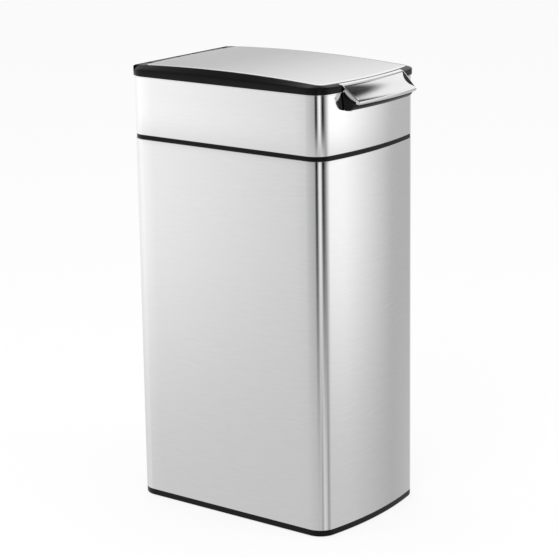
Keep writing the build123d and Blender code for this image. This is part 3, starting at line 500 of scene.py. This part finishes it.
def band_paths():
    """The lip's outline and the sloping band's upper edge, from the rear left round the front to the rear right.

    Both have the same number of points, joined one to one by straight lines. The third value marks the points
    behind the touch bar.
    """
    corner_x = HALF - CORNER_R
    corner_y = FRONT_CENTRE - math.sqrt((FRONT_R - CORNER_R) ** 2 - corner_x**2)
    lip_r = CORNER_R + OVERHANG
    back_y = BACK - CORNER_R
    rear = math.degrees(math.asin((LID_AXIS_Y - back_y) / lip_r))
    lean = math.degrees(math.asin(corner_x / (FRONT_R - CORNER_R)))
    cut = math.degrees(math.asin(BAR_GAP / (FRONT_R + OVERHANG)))
    half = HALF - PANEL_SIDE + SEAT
    edge_r = PANEL_R + SEAT
    bow_r = ((HALF - PANEL_SIDE) ** 2 + PANEL_FRONT_BOW**2) / (2 * PANEL_FRONT_BOW) + SEAT
    centre_y = FRONT_CROWN + PANEL_FRONT - SEAT + bow_r
    edge_x = half - edge_r
    edge_y = centre_y - math.sqrt((bow_r - edge_r) ** 2 - edge_x**2)
    edge_lean = math.degrees(math.asin(edge_x / (bow_r - edge_r)))
    share = np.linspace(0.0, 1.0, 27)[1:-1, None]
    lip = [arc_points((-corner_x, back_y), lip_r, 180 - rear, 180, 9)]
    edge = [np.c_[np.full(9, -half), np.linspace(LID_AXIS_Y, back_y, 9)]]
    side_x = -HALF - OVERHANG
    lip.append(np.array([side_x, back_y]) * (1 - share) + np.array([side_x, corner_y]) * share)
    edge.append(np.array([-half, back_y]) * (1 - share) + np.array([-half, edge_y]) * share)
    lip.append(arc_points((-corner_x, corner_y), lip_r, 180, 270 - lean, 25))
    edge.append(arc_points((-edge_x, edge_y), edge_r, 180, 270 - edge_lean, 25))
    part = np.concatenate([np.linspace(-1, -cut / lean, 5)[1:], np.linspace(-cut / lean, 0, 17)])
    turn = np.radians(270 + lean * part)
    lip_bow = FRONT_R + OVERHANG
    lip.append(np.c_[lip_bow * np.cos(turn), FRONT_CENTRE + lip_bow * np.sin(turn)])
    turn = np.radians(270 + edge_lean * part)
    edge.append(np.c_[bow_r * np.cos(turn), centre_y + bow_r * np.sin(turn)])
    lip, edge = np.concatenate(lip), np.concatenate(edge)
    behind = np.zeros(len(lip), bool)
    behind[-17:] = True
    mirror = np.array([-1.0, 1.0])
    lip = np.concatenate([lip, lip[-2::-1] * mirror])
    edge = np.concatenate([edge, edge[-2::-1] * mirror])
    behind = np.concatenate([behind, behind[-2::-1]])
    return lip, edge, behind


def lid_frame_band():
    """Lip, sloping band and the ledge under the panel's edge: a closed profile carried round the open path.

    A point's place in plan is the lip's outline plus a share of the way to the band's upper edge. On the slope its
    height is the same share between the lip's top and the arch. Behind the bar the share is never less than the
    one at the cut, which leaves an upright wall there.
    """
    lip, edge, behind = band_paths()
    reach = np.linalg.norm(edge - lip, axis=1)
    edge_z = arch_z(edge[:, 1]) - PROUD
    cut = BAR_CUT_REACH / BAND_REACH
    none = np.zeros(len(lip))

    def share_of(distance):
        """A distance in from the lip, as a share of the way to the band's upper edge."""
        return distance / reach

    def slope(share):
        """Height on the sloping band."""
        return LIP_TOP + share * (edge_z - LIP_TOP)

    def level(height):
        """The same height all the way round."""
        return np.full(len(lip), height)

    rows = [
        (none, level(LID_BOTTOM)),
        (none, level(LIP_TOP - 0.9)),
        (share_of(0.12), level(LIP_TOP - 0.42)),
        (share_of(0.42), level(LIP_TOP - 0.1)),
        (share_of(0.95), slope(share_of(0.95)) + 0.02),
        (none + 0.35, slope(0.35)),
        (none + 0.65, slope(0.65)),
        (1 - share_of(0.5), slope(1 - share_of(0.5))),
        (1 - share_of(0.12), slope(1 - share_of(0.12)) - 0.06),
        (none + 1.0, slope(1.0) - 0.25),
        (none + 1.0, edge_z - PANEL_T + PROUD - 0.05),
        (1 + share_of(12.0), None),
        (1 + share_of(12.0), None),
        (share_of(2.4), level(LIP_TOP - 2.4)),
        (share_of(2.4), level(LID_BOTTOM)),
    ]
    grid = []
    for number, (share, height) in enumerate(rows):
        wall = cut if number < 11 else cut + 0.15
        moved = np.where(behind & (number not in (11, 12)), np.maximum(share, wall), share)
        place = lip + moved[:, None] * (edge - lip)
        if height is None:
            height = arch_z(place[:, 1]) - PANEL_T - (0.05 if number == 11 else 2.45)
        elif 0 < number < 8:
            height = np.where(behind, slope(np.maximum(share, cut)), height)
        grid.append(np.c_[place, height])
    grid = np.stack(grid)
    # A column on each side of the cut, in the same place of the outline.
    plain = np.stack([
        np.c_[lip + share[:, None] * (edge - lip), grid[n][:, 2] if height is None else height]
        for n, (share, height) in enumerate(rows)
    ])
    columns, number = [], grid.shape[1]
    for j in range(number):
        if behind[j] and not behind[j - 1]:
            columns.append(plain[:, j])
        columns.append(grid[:, j])
        if behind[j] and not behind[(j + 1) % number]:
            columns.append(plain[:, j])
    grid = np.stack(columns, axis=1)
    rows_n, columns_n = grid.shape[:2]
    faces = grid_faces(rows_n, columns_n, True, False)[:, ::-1].tolist()
    faces.append([row * columns_n for row in range(rows_n)])
    faces.append([row * columns_n + columns_n - 1 for row in range(rows_n)][::-1])
    return sheet_piece("lid_frame_band", grid.reshape(-1, 3), faces, BLACK, "lid", ["lid_frame"], 38.0)


def panel_back_y(x):
    """Where the panel's back outline, with the fine gap, stands at x: a shallow arc with round corners."""
    half = HALF - PANEL_SIDE
    bow_r = (half**2 + PANEL_BACK_BOW**2) / (2 * PANEL_BACK_BOW)
    centre_y = BACK - PANEL_BACK - bow_r
    radius = PANEL_R + SEAT
    corner_x = half + SEAT - radius
    corner_y = centre_y + math.sqrt((bow_r + SEAT - radius) ** 2 - corner_x**2)
    tangent_x = corner_x * (bow_r + SEAT) / (bow_r + SEAT - radius)
    x = np.abs(np.asarray(x, float))
    arc = centre_y + np.sqrt((bow_r + SEAT) ** 2 - np.minimum(x, tangent_x) ** 2)
    corner = corner_y + np.sqrt(np.maximum(radius**2 - np.maximum(x - corner_x, 0.0) ** 2, 0.0))
    return np.where(x <= tangent_x, arc, corner)


def lid_frame_rear():
    """Strip behind the panel and the rolled edge about the lid's pin, in five lengths between the ring's lugs.

    Each is a closed profile carried along X: from the panel's back outline to above the axis on the arch, half
    way round the axis, and back forwards underneath.
    """
    half = HALF - PANEL_SIDE + SEAT
    lengths = [(-half, -89.9), (-82.1, -23.9), (-16.1, 16.1), (23.9, 82.1), (89.9, half)]
    turn = np.radians(np.linspace(90.0, -90.0, 17))
    roll_y = LID_AXIS_Y + ROLL_R * np.cos(turn)
    roll_z = LID_AXIS_Z + ROLL_R * np.sin(turn)
    points, faces = [], []
    for start, end in lengths:
        x = np.linspace(start, end, 24)
        front = panel_back_y(x)
        rows = []
        for share in (0.0, 0.06, 0.5, 0.85):
            y = front + share * (LID_AXIS_Y - front)
            rows.append(np.c_[x, y, arc_height(y) - (0.25 if share == 0.0 else 0.0)])
        rows += [np.c_[x, np.full(24, y), np.full(24, z)] for y, z in zip(roll_y, roll_z)]
        rows.append(np.c_[x, front + 1.0, np.full(24, LID_AXIS_Z - ROLL_R)])
        rows.append(np.c_[x, front - 3.0, arch_z(front - 3.0) - PANEL_T - 2.5])
        rows.append(np.c_[x, front - 3.0, arch_z(front - 3.0) - PANEL_T - 0.05])
        rows.append(np.c_[x, front, arch_z(front) - PANEL_T - 0.05])
        grid = np.stack(rows)
        base = sum(len(block) for block in points)
        quads = grid_faces(grid.shape[0], 24, True, False) + base
        points.append(grid.reshape(-1, 3))
        faces += quads.tolist()
        faces.append([base + row * 24 for row in range(grid.shape[0])][::-1])
        faces.append([base + row * 24 + 23 for row in range(grid.shape[0])])
    return sheet_piece("lid_frame_rear", np.concatenate(points), faces, BLACK, "lid", ["lid_frame"], 38.0)


def arc_height(y):
    """Height of the lid frame's arched top, just below the panel's face."""
    return arch_z(y) - PROUD


lid_frame_band()
lid_frame_rear()


# ---------------------------------------------------------------------------------------------------
# Touch bar
# ---------------------------------------------------------------------------------------------------


def through(points, count):
    """Smooth line through points: a cubic whose slope at each point follows its neighbours, at even steps."""
    points = np.asarray(points, float)
    lengths = np.r_[0.0, np.cumsum(np.linalg.norm(np.diff(points, axis=0), axis=1))]
    slopes = np.gradient(points, lengths, axis=0)
    at = np.linspace(0.0, lengths[-1], count)
    k = np.clip(np.searchsorted(lengths, at, side="right") - 1, 0, len(points) - 2)
    gap = (lengths[k + 1] - lengths[k])[:, None]
    f = ((at - lengths[k])[:, None]) / gap
    a, b = points[k], points[k + 1]
    return (
        (2 * f**3 - 3 * f**2 + 1) * a + (f**3 - 2 * f**2 + f) * gap * slopes[k]
        + (-2 * f**3 + 3 * f**2) * b + (f**3 - f**2) * gap * slopes[k + 1]
    )


def arc_through(a, b, c, count):
    """Points of the circle's arc from a over b to c."""
    a, b, c = (np.asarray(p, float) for p in (a, b, c))
    rows = 2 * np.array([b - a, c - a])
    centre = np.linalg.solve(rows, np.array([b @ b - a @ a, c @ c - a @ a]))
    radius = np.linalg.norm(a - centre)
    angles = [math.atan2(*(p - centre)[::-1]) for p in (a, b, c)]
    turn = np.unwrap(angles)
    return arc_points(centre, radius, math.degrees(turn[0]), math.degrees(turn[2]), count)


BAR_HALF_TOP, BAR_HALF_LIP = 76.5, 70.0
BAR_TOP_RISE, BAR_LIP_DROP = 10.8, 13.6


def touch_bar_skin():
    """Steel bar: a closed section, as reach in front of the ring and rise above its top, carried along the bow.

    Along the middle the section dips into the scoop, and over the last few millimetres at each end it rises to the
    straight line from flange to lip. The half width shrinks evenly from the flange down to the lip.
    """
    flange = through([(-6.7, 9.6), (-6.95, 10.2), (-6.5, 10.75), (-3.5, 10.25), (-0.9, 9.75)], 12)
    straight = np.linspace((-0.5, 9.62), (22.1, -9.95), 40)
    # The scoop lies below the straight line by up to 2.9 mm, with a fine crease under the flange.
    share = np.linspace(0.0, 1.0, 40)
    down = 2.9 * np.sin(np.pi * share**0.85) + 0.5 * np.exp(-(((share - 0.045) / 0.022) ** 2))
    scoop = straight + down[:, None] * np.array([-0.6546, -0.756])
    lip = arc_through((22.4, -10.2), (25.0, -13.6), (22.5, -16.8), 11)
    under = arc_through((22.5, -16.8), (9.0, -11.2), (1.7, -1.0), 15)[1:]
    neck = np.array([(-1.6, 3.6), (-3.4, 8.2)])
    along = np.concatenate([
        [-1.0, -0.998, -0.995, -0.991, -0.987, -0.981, -0.975],
        np.linspace(-0.97, -0.93, 13),
        np.linspace(-0.92, 0.0, 24),
    ])
    along = np.concatenate([along, -along[-2::-1]])
    inside = (1 - np.abs(along)) * BAR_HALF_TOP
    # depth of the scoop: a rounded ridge for the first 2 mm, then a smooth fall over 2.6 mm
    fall = np.clip((inside - 2.0) / 2.6, 0.0, 1.0)
    fall = fall * fall * (3 - 2 * fall)
    ease = np.clip(1 - inside / 1.0, 0.0, 1.0) ** 2 * 0.8
    columns = []
    for share, depth, lower in zip(along, fall, ease):
        middle = straight * (1 - depth) + scoop * depth
        section = np.concatenate([flange, middle, lip, under, neck])
        centre = np.array([9.0, -4.0])
        section = section + (centre - section) * lower / 18.0
        reach, rise = section.T
        up = (rise + BAR_LIP_DROP) / (BAR_TOP_RISE + BAR_LIP_DROP)
        half = BAR_HALF_LIP + (BAR_HALF_TOP - BAR_HALF_LIP) * up
        x = share * half
        y = FRONT_CENTRE - np.sqrt((FRONT_R + reach) ** 2 - x**2)
        columns.append(np.c_[x, y, RING_TOP + rise])
    grid = np.stack(columns, axis=1)
    rows, width = grid.shape[:2]
    faces = grid_faces(rows, width, True, False)[:, ::-1].tolist()
    faces.append([row * width for row in range(rows)])
    faces.append([row * width + width - 1 for row in range(rows)][::-1])
    return sheet_piece("touch_bar_skin", grid.reshape(-1, 3), faces, STEEL_BAR, "touch_bar", ["bar_cover"], 40.0)


touch_bar_skin()


# ---------------------------------------------------------------------------------------------------
# Studio: floor, world and lamps
# ---------------------------------------------------------------------------------------------------


# The room that the metal shows, as greys from 0 to 255 by direction in degrees anticlockwise from +X.
LEVEL_TONES = [
    (0, 200), (120, 255), (137, 255),  # white wall on the left
    (145, 200), (200, 170),  # grey screen
    (206, 5), (215, 5),  # black flag
    (222, 200), (229, 250), (237, 220),  # narrow white strip
    (244, 5), (254, 20),  # black flag
    (290, 250), (308, 255),  # soft box in front
    (335, 180), (350, 175), (360, 200),  # grey screen on the right
]
BELOW_TONES = [
    (0, 195), (120, 220), (145, 200), (222, 190),  # floor, lit from the left
    (231, 150), (242, 220), (256, 205), (268, 150),  # feet of the two flags
    (285, 200), (310, 200), (335, 175), (360, 195),
]
ABOVE_TONES = [
    (0, 240), (110, 240), (200, 200),  # white ceiling
    (300, 60), (330, 60), (356, 235), (360, 240),  # dark screen, leaning
]
# The same, by direction above and below the level: each darkens what the lists above give.
HEIGHT_TONES = [
    (-90, 200), (-22, 250), (-8, 255), (8, 190), (16, 250), (40, 240),
    (45, 110), (51, 50), (90, 50),  # dark overhead
]


def math_node(tree, operation, first, second, third=0.0):
    """Output of a math node over two or three values or sockets."""
    return node(tree, "ShaderNodeMath", {"operation": operation}, {0: first, 1: second, 2: third}).outputs[0]


def turn_share(tree, angle):
    """An angle in degrees as a share of a full turn, from 0 to 1."""
    return math_node(tree, "DIVIDE", math_node(tree, "WRAP", angle, 360.0, 0.0), 360.0)


def step_share(tree, value, start, end):
    """Smooth share from 0 where value is start to 1 where it is end."""
    settings = {"interpolation_type": "SMOOTHSTEP"}
    ends = {"Value": value, "From Min": start, "From Max": end}
    return node(tree, "ShaderNodeMapRange", settings, ends).outputs[0]


def blend(tree, share, first, second, kind="MIX"):
    """Colour mixed from two colours."""
    mix = node(tree, "ShaderNodeMix", {"data_type": "RGBA", "blend_type": kind})
    for number, value in ((0, share), (6, first), (7, second)):
        if isinstance(value, bpy.types.NodeSocket):
            tree.links.new(value, mix.inputs[number])
        else:
            mix.inputs[number].default_value = value
    return mix.outputs[2]


def tone_ramp(tree, share, tones, whole=360.0, start=0.0):
    """Colour ramp over angles in degrees, each with a grey from 0 to 255."""
    ramp = node(tree, "ShaderNodeValToRGB", {}, {0: share})
    elements = ramp.color_ramp.elements
    while len(elements) > 1:
        elements.remove(elements[0])
    for number, (angle, tone) in enumerate(tones):
        position = (angle + start) / whole
        element = elements[0] if number == 0 else elements.new(position)
        element.position = position
        element.color = linear("#" + f"{tone:02X}" * 3)
    return ramp.outputs[0]


def studio():
    """Pale floor, white surroundings, a large soft lamp on each side and one above."""
    mesh = bpy.data.meshes.new("floor")
    reach = 12.0
    signs = ((-1, -1), (1, -1), (1, 1), (-1, 1))
    mesh.from_pydata([(reach * x, reach * y, 0.0) for x, y in signs], [], [(0, 1, 2, 3)])
    floor = bpy.data.objects.new("floor", mesh)
    bpy.context.scene.collection.objects.link(floor)
    material = bpy.data.materials.new("pale_floor")
    material.use_nodes = True
    tree = material.node_tree
    shader = tree.nodes["Principled BSDF"]
    shader.inputs["Base Color"].default_value = linear("#F4F4F4")
    shader.inputs["Roughness"].default_value = 0.7
    shader.inputs["Specular IOR Level"].default_value = 0.1
    mesh.materials.append(material)
    floor.visible_glossy = False
    # The camera sees the floor as white paper: a white glow carries part of it and the lamps' light the rest.
    rays = node(tree, "ShaderNodeLightPath")
    glow = node(tree, "ShaderNodeEmission", {}, {"Color": linear("#FFFFFF"), "Strength": 1.0})
    part = node(tree, "ShaderNodeMath", {"operation": "MULTIPLY"}, {0: rays.outputs["Is Camera Ray"], 1: 0.84})
    both = {0: part.outputs[0], 1: shader.outputs[0], 2: glow.outputs[0]}
    paper = node(tree, "ShaderNodeMixShader", {}, both)
    tree.links.new(paper.outputs[0], tree.nodes["Material Output"].inputs["Surface"])

    world = bpy.data.worlds.new("studio")
    bpy.context.scene.world = world
    world.use_nodes = True
    tree = world.node_tree
    tree.nodes.clear()
    rays = node(tree, "ShaderNodeLightPath")
    seen = math_node(tree, "MAXIMUM", rays.outputs["Is Camera Ray"], rays.outputs["Is Transmission Ray"])
    fill = node(tree, "ShaderNodeBackground", {}, {"Color": linear("#FFFFFF"), "Strength": 0.8})
    white = node(tree, "ShaderNodeBackground", {}, {"Color": linear("#FFFFFF"), "Strength": 1.0})
    # What the metal shows: a white room with darker stretches, by direction around and above the bin, in degrees.
    place = node(tree, "ShaderNodeTexCoord")
    split = node(tree, "ShaderNodeSeparateXYZ", {}, {0: place.outputs["Generated"]})
    around = math_node(tree, "ARCTAN2", split.outputs["Y"], split.outputs["X"])
    around = math_node(tree, "MULTIPLY", around, 180.0 / math.pi)
    height = math_node(tree, "ARCSINE", split.outputs["Z"], 0.0)
    height = math_node(tree, "MULTIPLY", height, 180.0 / math.pi)
    level = tone_ramp(tree, turn_share(tree, around), LEVEL_TONES)
    below = tone_ramp(tree, turn_share(tree, around), BELOW_TONES)
    slanted = math_node(tree, "ADD", around, math_node(tree, "MULTIPLY_ADD", height, -4.5, 150.0))
    above = tone_ramp(tree, turn_share(tree, slanted), ABOVE_TONES)
    room = blend(tree, step_share(tree, height, -12.0, -20.5), level, below)
    room = blend(tree, step_share(tree, height, 2.0, 10.0), room, above)
    climb_share = math_node(tree, "MULTIPLY_ADD", height, 1 / 180.0, 0.5)
    climb = tone_ramp(tree, climb_share, HEIGHT_TONES, 180.0, 90.0)
    room = blend(tree, 1.0, room, climb, "MULTIPLY")
    shown = node(tree, "ShaderNodeBackground", {}, {"Color": room, "Strength": 1.36})
    glossy = {0: rays.outputs["Is Glossy Ray"], 1: fill.outputs[0], 2: shown.outputs[0]}
    first = node(tree, "ShaderNodeMixShader", {}, glossy)
    final = node(tree, "ShaderNodeMixShader", {}, {0: seen, 1: first.outputs[0], 2: white.outputs[0]})
    node(tree, "ShaderNodeOutputWorld", {}, {"Surface": final.outputs[0]})

    for name, place, size, power in (
        ("lamp_left", (-2.2, -0.6, 2.4), 1.8, 26.0),
        ("lamp_front", (0.6, -2.4, 2.0), 1.5, 12.0),
        ("lamp_above", (-0.2, 0.4, 3.0), 2.4, 18.0),
    ):
        data = bpy.data.lights.new(name, "AREA")
        data.shape = "SQUARE"
        data.size = size
        data.energy = power
        lamp = bpy.data.objects.new(name, data)
        bpy.context.scene.collection.objects.link(lamp)
        lamp.location = place
        aim = Vector((0.0, 0.0, 0.3)) - Vector(place)
        lamp.rotation_euler = aim.to_track_quat("-Z", "Y").to_euler()
        lamp.visible_glossy = False


studio()
bpy.context.scene.view_settings.view_transform = "Standard"
